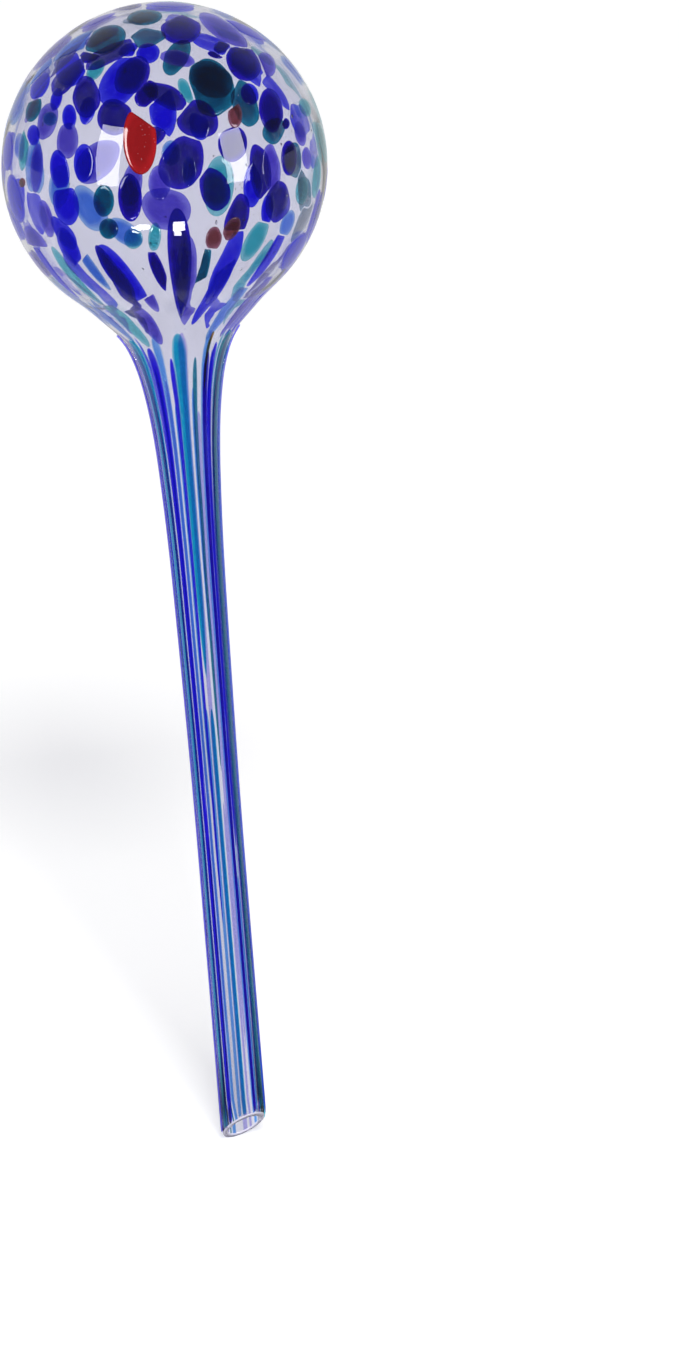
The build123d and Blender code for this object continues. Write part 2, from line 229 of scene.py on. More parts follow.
# Where two chips would overlap: the share of the overlap that the later one gives up, and how far past its
# middle the other may reach before it is left out
later_gives_share = 0.8
swallowing_share = 1.15

# Small bubbles of gas in the clear wall: how many, the largest one's size and thickness, the smallest one's
# share of it, the heights on the ball and depths in the wall that they lie at, how long they are drawn and
# how far they turn
seed_count = 170
seed_size = 0.75 * mm
seed_thickness = 0.5 * mm
least_seed_share = 0.25
seed_height_shares = (-0.75, 0.95)
seed_depth_shares = (0.45, 0.7)
seed_drawn_shares = (1, 2.2)
seed_turn = 0.5

# Clear glass: how strongly light bends in it, its colour, and its tint in the lamps' light
glass_bend = 1.5
clear_colour = (0.80, 0.80, 0.885, 1)
clear_shade = (0.85, 0.85, 0.87, 1)
melted_shade = (0.6, 0.6, 0.66, 1)

# The hand-blown surface: how close its waves are, how flat they are drawn upwards, and how high they stand
skin_waves = 90
skin_drawn_out = (1, 1, 0.45)
skin_strength = 0.35
skin_height = 0.6 * mm

# The lip: its colour, how much light goes through it, its fine waves and its least and most frost
lip_colour = (0.86, 0.84, 0.96, 1)
lip_clearness = 0.3
lip_waves = 900
lip_least_frost = 0.05
lip_most_frost = 0.3

# The colour in melted glass: how fine and strong its clouds are, how wide the thin rim is, and its specks
cloud_scale = 260
cloud_swing = 1.2
thin_rim_share = 0.45
speck_scale = 900
speck_edge = 0.16
speck_core = 0.08
speck_colour = (0.7, 0.75, 0.9, 1)
wet_shine = 0.02
thread_streak = 0.03

# The white table and its own light, which its lit surface brings up to white
floor_size = 60
table_colour = (0.9, 0.9, 0.9, 1)
table_glow = 0.44

# How bright the room and the table round the tip are where the glass mirrors them
room_in_front = 0.15
room_behind = 0.75
table_at_tip = 0.45

# From where to where the mirrored room and table turn bright behind the globe, and where the bright patch of
# table round the tip fades
room_turns_bright = (0.25, 0.85)
table_turns_bright = (30 * mm, 90 * mm)
table_fades = (20 * mm, 45 * mm)
room_colour = (0.97, 0.97, 1, 1)
room_light = (0.28, 0.28, 0.29, 1)

# Shines on the ball: name, place across and up in shares of its radius, the lamp's distance, width and height
# in metres, strength
shines = [
    ("left_softbox", -0.342, 0.055, 1.6, 0.52, 1.15, 9),
    ("right_softbox", 0.437, 0.043, 1.6, 0.5, 1.05, 9),
    ("low_left_card", -0.165, -0.392, 0.1, 0.012, 0.008, 26),
    ("low_left_edge_card", -0.122, -0.380, 0.1, 0.015, 0.007, 26),
    ("low_card", 0.087, -0.376, 0.1, 0.018, 0.014, 26),
    ("low_edge_card", 0.078, -0.412, 0.1, 0.010, 0.011, 26),
]

# The lamp that lights the table: name, azimuth and elevation in degrees, distance, width and height in
# metres, strength
key_lamp = ("key_softbox", 5, 28, 20, 2.73, 2.73, 142)

# The photograph in its own pixels: the ball's width, the frame's height, and where the frame's middle lies
# from the ball's, across and up
photo_ball_width = 326
photo_height = 1361
photo_middle = (174.8, -515.5)
camera_distance = 3.6
sensor_height = 24
sight_end = 100

# How finely the glass is turned
turned_steps = 128
arc_steps = 48
neck_steps = 44
neck_crowding = 1.5
lip_steps = 3
oval_steps = 24
oval_rings = 3
oval_ring_share = 0.12
chip_start_share = 1.2
thread_steps = 40
least_thread_steps = 9
thread_strips = 4

# Points closer than this are one, and points this near a plane or a height lie on it
weld = 0.001 * mm
on_plane = 0.01 * mm


# Small habits of the bench

def pick(piece):
    """Selects one piece and makes it the active one."""
    if bpy.context.object and bpy.context.object.mode != "OBJECT":
        bpy.ops.object.mode_set(mode="OBJECT")
    bpy.ops.object.select_all(action="DESELECT")
    piece.select_set(True)
    bpy.context.view_layer.objects.active = piece


def open_mesh(piece):
    """Goes into edit mode with the whole piece selected."""
    pick(piece)
    bpy.ops.object.mode_set(mode="EDIT")
    bpy.ops.mesh.select_all(action="SELECT")


def shut_mesh():
    bpy.ops.object.mode_set(mode="OBJECT")


def finish_with(piece, kind, **settings):
    """Adds a modifier to a piece, sets it and applies it."""
    pick(piece)
    modifier = piece.modifiers.new(kind.lower(), kind)
    for name, value in settings.items():
        setattr(modifier, name, value)
    bpy.ops.object.modifier_apply(modifier=modifier.name)


def join(pieces, name):
    """Makes one piece of several."""
    pick(pieces[0])
    for piece in pieces:
        piece.select_set(True)
    if len(pieces) > 1:
        bpy.ops.object.join()
    joined = bpy.context.object
    joined.name = name
    joined.data.name = name
    return joined


# The outline of the glass

def flare_left(share):
    """The smooth line through the neck's shares."""
    steepest = -neck_length / tan(shoulder_angle) / (shoulder_radius - stem_radius)
    slopes = [steepest]
    for before, after in zip(neck_shares, neck_shares[2:]):
        slopes.append((after[1] - before[1]) / (after[0] - before[0]))
    slopes.append(0)
    number = max(i for i, place in enumerate(neck_shares[:-1]) if place[0] <= share)
    (start, high), (end, low) = neck_shares[number], neck_shares[number + 1]
    span = end - start
    t = (share - start) / span
    return (
        high * (1 + 2 * t) * (1 - t) ** 2 + low * t * t * (3 - 2 * t)
        + slopes[number] * span * t * (1 - t) ** 2 - slopes[number + 1] * span * t * t * (1 - t)
    )


def neck_outline(top_share, bottom_share, steps):
    """Places down the neck and stem as (radius, height), by shares of the way from the shoulder to the tip,
    closer together where the neck curves most."""
    places = []
    for step in range(steps + 1):
        share = top_share + (bottom_share - top_share) * (step / steps) ** neck_crowding
        height = shoulder_height * (1 - share)
        down = min(max((shoulder_height - height) / neck_length, 0), 1)
        places.append((stem_radius + flare_left(down) * (shoulder_radius - stem_radius), height))
    return places


def whole_outline():
    """Places on the outside, from the crown to below the tip."""
    places = []
    for step in range(arc_steps):
        turn = (pi - shoulder_angle) * step / arc_steps
        places.append((ball_radius * sin(turn), ball_centre.z + ball_radius * cos(turn)))
    return places + neck_outline(0, 1 + below_tip / shoulder_height, neck_steps)


def beside(places, distance_at):
    """The line beside an outline, further from the axis by the distance at each height."""
    moved = []
    for number, (radius, height) in enumerate(places):
        before, after = places[max(number - 1, 0)], places[min(number + 1, len(places) - 1)]
        if number == 0 and radius == 0:
            before = (-after[0], after[1])
        along = Vector((after[0] - before[0], after[1] - before[1])).normalized()
        distance = distance_at(height)
        moved.append((max(radius - along.y * distance, 0), height + along.x * distance))
    return moved


def wall_at(height):
    """The wall's thickness, which thins evenly from the shoulder to the parallel stem."""
    share = (shoulder_height - height) / neck_length
    return ball_wall + (stem_wall - ball_wall) * min(max(share, 0), 1)


def upright(places, turn=0):
    """Places on an outline as points in the upright plane that is turned from the front."""
    return [Vector((radius * sin(turn), -radius * cos(turn), height)) for radius, height in places]


def trace(name, points):
    """A line of edges through points, drawn out from its first one."""
    bpy.ops.object.select_all(action="DESELECT")
    bpy.ops.mesh.primitive_plane_add(size=mm, location=points[0])
    line = bpy.context.object
    line.name = name
    bpy.ops.object.transform_apply(location=True, rotation=True, scale=True)
    open_mesh(line)
    bpy.ops.mesh.merge(type="CENTER")
    for here, there in zip(points, points[1:]):
        bpy.ops.mesh.extrude_region_move(TRANSFORM_OT_translate={"value": there - here})
    shut_mesh()
    return line


def spin(piece, angle, steps, hollow_side=False):
    """Turns a line clockwise about the upright axis, with its faces outwards or towards the hollow."""
    open_mesh(piece)
    bpy.ops.mesh.spin(steps=steps, angle=angle, center=(0, 0, 0), axis=(0, 0, 1))
    bpy.ops.mesh.select_all(action="SELECT")
    bpy.ops.mesh.remove_doubles(threshold=weld)
    bpy.ops.mesh.normals_make_consistent(inside=hollow_side)
    shut_mesh()


def tip_slant():
    """The slanted cut's plane: a point on it and the way down from it."""
    drop = stem_radius * tan(tip_cut_angle)
    slant = Matrix.Rotation(tip_high_side_turn, 3, "Z") @ Matrix.Rotation(-tip_cut_angle, 3, "Y")
    return Vector((0, 0, drop)), slant @ Vector((0, 0, -1))


# The clear glass

def blow_clear_globe():
    """The blown wall in one: ball, neck and stem, with the slanted tip cut and its lip melted round."""
    outside = whole_outline()
    inside = beside(outside, lambda height: -wall_at(height))
    globe = trace("clear_globe_wall", upright(outside))
    spin(globe, 2 * pi, turned_steps)
    inner = trace("clear_globe_inside", upright(inside))
    spin(inner, 2 * pi, turned_steps, hollow_side=True)
    point, down = tip_slant()
    globe = join([globe, inner], "clear_globe_wall")
    open_mesh(globe)
    bpy.ops.mesh.bisect(plane_co=point, plane_no=down, clear_outer=True)
    shut_mesh()
    open_mesh(globe)
    bpy.ops.mesh.select_mode(type="EDGE")
    bpy.ops.mesh.select_all(action="DESELECT")
    bpy.ops.mesh.select_non_manifold()
    bpy.ops.mesh.bridge_edge_loops()
    bpy.ops.mesh.select_all(action="DESELECT")
    shut_mesh()
    for edge in globe.data.edges:
        ends = [globe.data.vertices[number].co for number in edge.vertices]
        edge.select = all(abs((end - point).dot(down)) < on_plane for end in ends)
    pick(globe)
    bpy.ops.object.mode_set(mode="EDIT")
    bpy.ops.mesh.bevel(offset=lip_round, segments=lip_steps)
    bpy.ops.mesh.select_all(action="SELECT")
    bpy.ops.mesh.normals_make_consistent(inside=False)
    bpy.ops.mesh.select_mode(type="VERT")
    shut_mesh()
    bpy.ops.object.shade_smooth()
    return globe


def trap_seeds(globe):
    """Gas seeds in the ball's wall, drawn a little long, as hollows that face inwards."""
    chance = random.Random(7)
    bpy.ops.object.select_all(action="DESELECT")
    bpy.ops.mesh.primitive_ico_sphere_add(subdivisions=2, radius=0.5)
    seed = bpy.context.object
    seed.name = "seed_blank"
    open_mesh(seed)
    bpy.ops.mesh.flip_normals()
    shut_mesh()
    bpy.ops.object.shade_smooth()
    seeds = []
    for _ in range(seed_count):
        up = chance.uniform(*seed_height_shares)
        turn = chance.uniform(0, 2 * pi)
        level = sqrt(1 - up * up)
        out = Vector((level * cos(turn), level * sin(turn), up))
        across = Vector((0, 0, 1)).cross(out).normalized()
        size = seed_size * (least_seed_share + (1 - least_seed_share) * chance.random() ** 3)
        depth = ball_radius - ball_wall * chance.uniform(*seed_depth_shares)
        bubble = seed.copy()
        bubble.data = seed.data.copy()
        bpy.context.collection.objects.link(bubble)
        length = size * chance.uniform(*seed_drawn_shares)
        shape = Matrix.Diagonal((size, length, min(size, seed_thickness), 1))
        place = facing(across, out.cross(across), out, ball_centre + out * depth)
        bubble.matrix_world = place @ Matrix.Rotation(chance.uniform(-seed_turn, seed_turn), 4, "Z") @ shape
        pick(bubble)
        bpy.ops.object.transform_apply(location=True, rotation=True, scale=True)
        seeds.append(bubble)
    bpy.data.objects.remove(seed)
    return join([globe] + seeds, globe.name)


# The chips and threads

def sight_frame():
    """Right, up and towards the camera, as the sight line shows the ball."""
    level_up = Vector((0, sin(sight_lift), cos(sight_lift)))
    right = Vector((1, 0, 0)) * cos(sight_lean) - level_up * sin(sight_lean)
    up = Vector((1, 0, 0)) * sin(sight_lean) + level_up * cos(sight_lean)
    return right, up, Vector((0, -cos(sight_lift), sin(sight_lift)))


def facing(right, up, out, origin):
    """The matrix of a bench plane: across, up and out of it, from its origin."""
    turned = Matrix((right, up, out)).transposed()
    return Matrix.Translation(origin) @ turned.to_4x4()


def cut_oval():
    """The flat oval blank of every chip. Its middle attribute runs from 0 at the rim to 1."""
    bpy.ops.object.select_all(action="DESELECT")
    bpy.ops.mesh.primitive_circle_add(vertices=oval_steps, radius=0.5, fill_type="NGON")
    oval = bpy.context.object
    oval.name = "oval_blank"
    open_mesh(oval)
    for _ in range(oval_rings):
        bpy.ops.mesh.inset(thickness=oval_ring_share)
    bpy.ops.mesh.poke()
    shut_mesh()
    middle = oval.data.attributes.new("middle", "FLOAT", "POINT")
    for vertex in oval.data.vertices:
        middle.data[vertex.index].value = 1 - min(vertex.co.length * 2, 1)
    return oval


def lay_chip(oval, skin_form, plane, across, up, width, height, lean, narrowing):
    """A copy of the blank, laid on the glass from outside along the plane's own direction."""
    chip = oval.copy()
    chip.data = oval.data.copy()
    bpy.context.collection.objects.link(chip)
    if narrowing:
        finish_with(chip, "SIMPLE_DEFORM", deform_method="TAPER", deform_axis="Y", factor=-2 * narrowing)
    away = ball_radius * chip_start_share
    size = Matrix.Diagonal((width, height, 1, 1))
    chip.matrix_world = plane @ Matrix.Translation((across, up, away)) @ Matrix.Rotation(lean, 4, "Z") @ size
    finish_with(
        chip, "SHRINKWRAP", target=skin_form, wrap_method="PROJECT", use_project_z=True,
        use_negative_direction=True, use_positive_direction=False,
    )
    bpy.ops.object.transform_apply(location=True, rotation=True, scale=True)
    return chip


def outline_of(chip):
    """The points round a chip's rim."""
    return [vertex.co.copy() for vertex in chip.data.vertices[:oval_steps]]


def reach(middle, rim, way):
    """How far a rim lies from the middle, that way."""
    ahead = max(rim, key=lambda point: (point - middle).normalized().dot(way))
    return (ahead - middle).length


def share_out(laid):
    """Trims chips that would overlap, the later one more, with the web left clear between them."""
    shapes = []
    for chip in laid:
        rim = outline_of(chip)
        middle = sum(rim, Vector()) / len(rim)
        shapes.append((middle, rim, max((point - middle).length for point in rim)))
    cuts, swallowed = {}, set()
    for i, (middle, rim, far) in enumerate(shapes):
        for j in range(i + 1, len(shapes)):
            other, other_rim, other_far = shapes[j]
            between = other - middle
            gap = between.length
            if gap > far + other_far + web or i in swallowed or j in swallowed:
                continue
            way = between.normalized()
            near, far_side = reach(middle, rim, way), reach(other, other_rim, -way)
            if near + far_side + web < gap:
                continue
            share = (gap - far_side + later_gives_share * (near + far_side - gap)) / gap
            if share > 1 or near > gap * swallowing_share:
                swallowed.add(j)
                continue
            if share < 0 or far_side > gap * swallowing_share:
                swallowed.add(i)
                continue
            place = middle + between * share
            cuts.setdefault(i, []).append((place - way * web / 2, way))
            cuts.setdefault(j, []).append((place + way * web / 2, -way))
    kept = []
    for number, chip in enumerate(laid):
        if number in swallowed:
            bpy.data.objects.remove(chip)
            continue
        open_mesh(chip)
        for place, way in cuts.get(number, []):
            bpy.ops.mesh.select_all(action="SELECT")
            bpy.ops.mesh.bisect(plane_co=place, plane_no=way, clear_outer=True)
        shut_mesh()
        if len(chip.data.polygons) > 3:
            kept.append(chip)
        else:
            bpy.data.objects.remove(chip)
    return kept


def all_chips(oval, skin_form):
    """Every chip laid on the ball, with its colour as a property."""
    right, up, viewer = sight_frame()
    front = facing(right, up, viewer, ball_centre)
    unit = ball_radius * hundredth
    laid = []

    def lay(colour, *where):
        chip = lay_chip(oval, skin_form, *where)
        chip["colour"] = colour
        laid.append(chip)

    for across, high, width, height, lean, narrowing, colour in front_chip_shares:
        lay(colour, front, across * unit, high * unit, width * unit, height * unit, radians(lean), narrowing)
    for turn, down, length, width, narrowing, lean, colour in drop_shares:
        out = Vector((sin(radians(turn)), -cos(radians(turn)), 0))
        plane = facing(Vector((0, 0, 1)).cross(out), Vector((0, 0, 1)), out, ball_centre)
        lay(
            colour, plane, 0, -down * ball_radius, width * ball_radius, length * ball_radius, radians(lean),
            -narrowing,
        )
    for number in range(spiral_chips):
        high = 1 - (2 * number + 1) / spiral_chips
        level = sqrt(1 - high * high)
        out = Vector((level * cos(spiral_turn * number), level * sin(spiral_turn * number), high))
        if out.dot(viewer) > cos(front_zone_angle) or -high > cos(drop_zone_angle):
            continue
        across = Vector((0, 0, 1)).cross(out).normalized()
        plane = facing(across, out.cross(across), out, ball_centre)
        width = spiral_width_shares[number % len(spiral_width_shares)] * unit
        height = spiral_height_shares[number % len(spiral_height_shares)] * unit
        lean = radians(spiral_leans[number % len(spiral_leans)])
        colour = spiral_colours[number % len(spiral_colours)]
        lay(colour, plane, 0, 0, width, height, lean, spiral_narrowing)
    return laid


def melt(piece, depth):
    """Gives a laid sheet its thickness into the wall and its round rim."""
    finish_with(piece, "SOLIDIFY", thickness=depth, offset=-1)
    finish_with(piece, "SUBSURF", levels=1, render_levels=1)
    bpy.ops.object.shade_smooth()


def select_level(piece, height):
    """Selects the points of a turned piece at one height, and returns their middle."""
    open_mesh(piece)
    bpy.ops.mesh.select_all(action="DESELECT")
    shut_mesh()
    level = []
    for vertex in piece.data.vertices:
        vertex.select = abs(vertex.co.z - height) < weld
        if vertex.select:
            level.append(vertex.co)
    return sum(level, Vector()) / max(len(level), 1)


def draw_out_end(thread, heights):
    """Narrows the strip's end over its outermost levels, down to a point."""
    for height, share in zip(heights, end_shares):
        middle = select_level(thread, height)
        bpy.ops.object.mode_set(mode="EDIT")
        if share:
            bpy.ops.transform.resize(value=(share, share, 1), center_override=middle)
        else:
            bpy.ops.mesh.merge(type="CENTER")
        shut_mesh()


def draw_thread(turn, width, top, bottom):
    """A strip of the glass's outside between two turns, drawn out to a point at its free ends."""
    below = bottom if bottom < 1 else 1 + below_tip / shoulder_height
    steps = max(int((below - top) * thread_steps), least_thread_steps)
    places = beside(neck_outline(top, below, steps), lambda height: thread_stand)
    thread = trace("thread", upright(places, radians(turn + width / 2)))
    spin(thread, radians(width), thread_strips)
    middle = thread.data.attributes.new("middle", "FLOAT", "POINT")
    for vertex in thread.data.vertices:
        aside = degrees(atan2(vertex.co.x, -vertex.co.y)) - turn
        aside = abs((aside + 180) % 360 - 180)
        middle.data[vertex.index].value = 1 - min(aside * 2 / width, 1)
    heights = [height for radius, height in places]
    draw_out_end(thread, heights)
    if bottom < 1:
        draw_out_end(thread, heights[::-1])
        return thread
    point, down = tip_slant()
    open_mesh(thread)
    bpy.ops.mesh.bisect(plane_co=point - down * lip_round, plane_no=down, clear_outer=True)
    shut_mesh()
    return thread


# Materials

def linear(red, green, blue):
    """A colour as it looks on a screen, 0 to 255, as light."""
    return tuple((share / 255) ** 2.2 for share in (red, green, blue)) + (1,)


def melted_colour_group():
    """Colour inside melted glass: deep in the middle, thin at the rim, uneven, with fine seeds of gas."""
    group = bpy.data.node_groups.new("melted_colour", "ShaderNodeTree")
    face = group.interface
    for name in ("Deep", "Thin"):
        face.new_socket(name, in_out="INPUT", socket_type="NodeSocketColor")
    for name in ("Streak", "Seeds"):
        face.new_socket(name, in_out="INPUT", socket_type="NodeSocketFloat")
    face.new_socket("Colour", in_out="OUTPUT", socket_type="NodeSocketColor")
    nodes, links = group.nodes, group.links
    given = nodes.new("NodeGroupInput")
    result = nodes.new("NodeGroupOutput")
    place = nodes.new("ShaderNodeTexCoord")
    stretch = nodes.new("ShaderNodeMapping")
    links.new(place.outputs["Object"], stretch.inputs["Vector"])
    squeeze = nodes.new("ShaderNodeCombineXYZ")
    squeeze.inputs[0].default_value = 1
    squeeze.inputs[1].default_value = 1
    links.new(given.outputs["Streak"], squeeze.inputs[2])
    links.new(squeeze.outputs[0], stretch.inputs["Scale"])
    cloud = nodes.new("ShaderNodeTexNoise")
    cloud.inputs["Scale"].default_value = cloud_scale
    cloud.inputs["Detail"].default_value = 3
    links.new(stretch.outputs[0], cloud.inputs["Vector"])
    middle = nodes.new("ShaderNodeAttribute")
    middle.attribute_name = "middle"
    body = nodes.new("ShaderNodeMapRange")
    body.interpolation_type = "SMOOTHSTEP"
    body.inputs["From Max"].default_value = thin_rim_share
    links.new(middle.outputs["Fac"], body.inputs["Value"])
    uneven = nodes.new("ShaderNodeMath")
    uneven.operation = "MULTIPLY_ADD"
    uneven.inputs[1].default_value = cloud_swing
    uneven.inputs[2].default_value = -cloud_swing / 2
    links.new(cloud.outputs["Fac"], uneven.inputs[0])
    depth = nodes.new("ShaderNodeMath")
    depth.operation = "ADD"
    depth.use_clamp = True
    links.new(body.outputs[0], depth.inputs[0])
    links.new(uneven.outputs[0], depth.inputs[1])
    tint = nodes.new("ShaderNodeMix")
    tint.data_type = "RGBA"
    links.new(depth.outputs[0], tint.inputs["Factor"])
    links.new(given.outputs["Thin"], tint.inputs[6])
    links.new(given.outputs["Deep"], tint.inputs[7])
    seed = nodes.new("ShaderNodeTexVoronoi")
    seed.inputs["Scale"].default_value = speck_scale
    links.new(stretch.outputs[0], seed.inputs["Vector"])
    speck = nodes.new("ShaderNodeMapRange")
    speck.inputs["From Min"].default_value = speck_edge
    speck.inputs["From Max"].default_value = speck_core
    links.new(seed.outputs["Distance"], speck.inputs["Value"])
    strength = nodes.new("ShaderNodeMath")
    strength.operation = "MULTIPLY"
    links.new(speck.outputs[0], strength.inputs[0])
    links.new(given.outputs["Seeds"], strength.inputs[1])
    specked = nodes.new("ShaderNodeMix")
    specked.data_type = "RGBA"
    specked.inputs[7].default_value = speck_colour
    links.new(strength.outputs[0], specked.inputs["Factor"])
    links.new(tint.outputs[2], specked.inputs[6])
    links.new(specked.outputs[2], result.inputs["Colour"])
    return group


def uneven_skin_group():
    """The slow waves of a hand-blown surface, as a height."""
    group = bpy.data.node_groups.new("uneven_skin", "ShaderNodeTree")
    face = group.interface
    face.new_socket("Waves", in_out="INPUT", socket_type="NodeSocketFloat")
    face.new_socket("Height", in_out="OUTPUT", socket_type="NodeSocketFloat")
    nodes, links = group.nodes, group.links
    given = nodes.new("NodeGroupInput")
    result = nodes.new("NodeGroupOutput")
    place = nodes.new("ShaderNodeTexCoord")
    draw_out = nodes.new("ShaderNodeMapping")
    draw_out.inputs["Scale"].default_value = skin_drawn_out
    cloud = nodes.new("ShaderNodeTexNoise")
    cloud.inputs["Detail"].default_value = 1
    links.new(place.outputs["Object"], draw_out.inputs["Vector"])
    links.new(draw_out.outputs[0], cloud.inputs["Vector"])
    links.new(given.outputs["Waves"], cloud.inputs["Scale"])
    links.new(cloud.outputs["Fac"], result.inputs["Height"])
    return group


melted_colour = melted_colour_group()
uneven_skin = uneven_skin_group()


def let_lamps_through(nodes, links, shader, tint):
    """Lamps shine through the glass with a plain tint, so its shadow stays light."""
    ray = nodes.new("ShaderNodeLightPath")
    through = nodes.new("ShaderNodeBsdfTransparent")
    through.inputs["Color"].default_value = tint
    either = nodes.new("ShaderNodeMixShader")
    output = nodes.new("ShaderNodeOutputMaterial")
    links.new(ray.outputs["Is Shadow Ray"], either.inputs[0])
    links.new(shader.outputs[0], either.inputs[1])
    links.new(through.outputs[0], either.inputs[2])
    links.new(either.outputs[0], output.inputs["Surface"])


def new_material(name):
    material = bpy.data.materials.new(name)
    material.use_nodes = True
    material.node_tree.nodes.clear()
    return material, material.node_tree.nodes, material.node_tree.links


def clear_glass():
    """The blown clear glass, faintly lilac, a little uneven."""
    material, nodes, links = new_material("clear_glass")
    glass = nodes.new("ShaderNodeBsdfPrincipled")
    glass.inputs["Base Color"].default_value = clear_colour
    glass.inputs["Roughness"].default_value = 0.0
    glass.inputs["IOR"].default_value = glass_bend
    glass.inputs["Transmission Weight"].default_value = 1
    skin = nodes.new("ShaderNodeGroup")
    skin.node_tree = uneven_skin
    skin.inputs["Waves"].default_value = skin_waves
    bump = nodes.new("ShaderNodeBump")
    bump.inputs["Strength"].default_value = skin_strength
    bump.inputs["Distance"].default_value = skin_height
    links.new(skin.outputs["Height"], bump.inputs["Height"])
    links.new(bump.outputs[0], glass.inputs["Normal"])
    let_lamps_through(nodes, links, glass, clear_shade)
    return material


def lip_glass():
    """The cut lip, pale and a little frosted where it was melted round."""
    material, nodes, links = new_material("lip_glass")
    glass = nodes.new("ShaderNodeBsdfPrincipled")
    glass.inputs["Base Color"].default_value = lip_colour
    glass.inputs["IOR"].default_value = glass_bend
    glass.inputs["Transmission Weight"].default_value = lip_clearness
    skin = nodes.new("ShaderNodeGroup")
    skin.node_tree = uneven_skin
    skin.inputs["Waves"].default_value = lip_waves
    frost = nodes.new("ShaderNodeMapRange")
    frost.inputs["To Min"].default_value = lip_least_frost
    frost.inputs["To Max"].default_value = lip_most_frost
    links.new(skin.outputs["Height"], frost.inputs["Value"])
    links.new(frost.outputs[0], glass.inputs["Roughness"])
    let_lamps_through(nodes, links, glass, clear_shade)
    return material


def melted_glass(name, deep, thin, seeds=0.4, clearness=1.0, streak=1.0):
    """Coloured glass melted into the wall: light goes straight through it and takes its colour."""
    material, nodes, links = new_material(name)
    glass = nodes.new("ShaderNodeBsdfPrincipled")
    glass.inputs["Roughness"].default_value = 0.0
    glass.inputs["IOR"].default_value = 1.0 if clearness > 0.5 else glass_bend
    glass.inputs["Transmission Weight"].default_value = clearness
    glass.inputs["Coat Roughness"].default_value = wet_shine
    glass.inputs["Coat IOR"].default_value = glass_bend
    colour = nodes.new("ShaderNodeGroup")
    colour.node_tree = melted_colour
    colour.inputs["Deep"].default_value = deep
    colour.inputs["Thin"].default_value = thin
    colour.inputs["Streak"].default_value = streak
    colour.inputs["Seeds"].default_value = seeds
    links.new(colour.outputs["Colour"], glass.inputs["Base Color"])
    facing_in = nodes.new("ShaderNodeNewGeometry")
    outer_side = nodes.new("ShaderNodeMath")
    outer_side.operation = "SUBTRACT"
    outer_side.inputs[0].default_value = 1
    links.new(facing_in.outputs["Backfacing"], outer_side.inputs[1])
    links.new(outer_side.outputs[0], glass.inputs["Coat Weight"])
    let_lamps_through(nodes, links, glass, melted_shade)
    return material


chip_glasses = {
    "navy": melted_glass("navy_glass", linear(20, 3, 128), linear(44, 24, 198)),
    "royal_blue": melted_glass("royal_blue_glass", linear(24, 8, 222), linear(66, 68, 238)),
    "violet": melted_glass("violet_glass", linear(82, 68, 200), linear(130, 124, 228), clearness=0.96),
    "light_blue": melted_glass("light_blue_glass", linear(70, 120, 226), linear(150, 190, 238)),
    "dark_teal": melted_glass("dark_teal_glass", linear(0, 78, 112), linear(20, 130, 160)),
    "turquoise": melted_glass("turquoise_glass", linear(62, 176, 190), linear(140, 210, 218)),
    "brown": melted_glass("brown_glass", linear(112, 58, 66), linear(150, 100, 120), clearness=0.85),
    "red": melted_glass("red_glass", linear(128, 5, 16), linear(158, 18, 26), seeds=0.1, clearness=0.0),
}
thread_colours = {
    "navy": ((28, 0, 172), (120, 115, 232)),
    "royal_blue": ((38, 20, 232), (140, 145, 245)),
    "lavender": ((190, 185, 245), (230, 230, 252)),
    "light_blue": ((95, 165, 245), (205, 230, 252)),
    "turquoise": ((20, 172, 210), (170, 230, 242)),
    "teal": ((25, 130, 155), (130, 195, 212)),
    "amber": ((130, 80, 30), (200, 165, 115)),
}
thread_glasses = {
    name: melted_glass(f"{name}_thread_glass", linear(*deep), linear(*thin), streak=thread_streak)
    for name, (deep, thin) in thread_colours.items()
}


def dress(piece, material):
    piece.data.materials.clear()
    piece.data.materials.append(material)


def dress_lip(globe, material):
    """Gives the lip's flat ring and its round edges their own material."""
    lip_slot = len(globe.data.materials)
    globe.data.materials.append(material)
    point, down = tip_slant()
    for face in globe.data.polygons:
        if abs((face.center - point).dot(down)) < lip_round:
            face.material_index = lip_slot


# Building

skin_form = trace("skin_form", upright(beside(whole_outline(), lambda height: chip_stand)))
spin(skin_form, 2 * pi, turned_steps)

globe = trap_seeds(blow_clear_globe())
dress(globe, clear_glass())
dress_lip(globe, lip_glass())
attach(globe, "root")
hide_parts("clear_globe")

oval = cut_oval()
by_colour = {}
for chip in share_out(all_chips(oval, skin_form)):
    melt(chip, chip_depth)
    by_colour.setdefault(chip["colour"], []).append(chip)
for colour, chips in by_colour.items():
    node = f"{colour}_chips" if len(chips) > 1 else f"{colour}_chip"
    piece = join(chips, f"{node}_melted")
    dress(piece, chip_glasses[colour])
    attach(piece, "root")
    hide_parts(node)

threads = {}
for turn, width, top, bottom, colour in thread_shares:
    thread = draw_thread(turn, width, top, bottom)
    melt(thread, thread_depth)
    threads.setdefault(colour, []).append(thread)
for colour, strips in threads.items():
    node = f"{colour}_threads" if len(strips) > 1 else f"{colour}_thread"
    piece = join(strips, f"{node}_melted")
    dress(piece, thread_glasses[colour])
    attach(piece, "root")
    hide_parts(node)

bpy.data.objects.remove(skin_form)
bpy.data.objects.remove(oval)


# Floor, light and camera

def seen_in_a_shine(nodes, links, ray):
    """1 for what is mirrored anywhere on its way, and 0 for what is seen straight or through glass."""
    mirrored = nodes.new("ShaderNodeMath")
    mirrored.operation = "ADD"
    mirrored.use_clamp = True
    mirrored.inputs[1].default_value = 0
    links.new(ray.outputs["Glossy Depth"], mirrored.inputs[0])
    return mirrored.outputs[0]


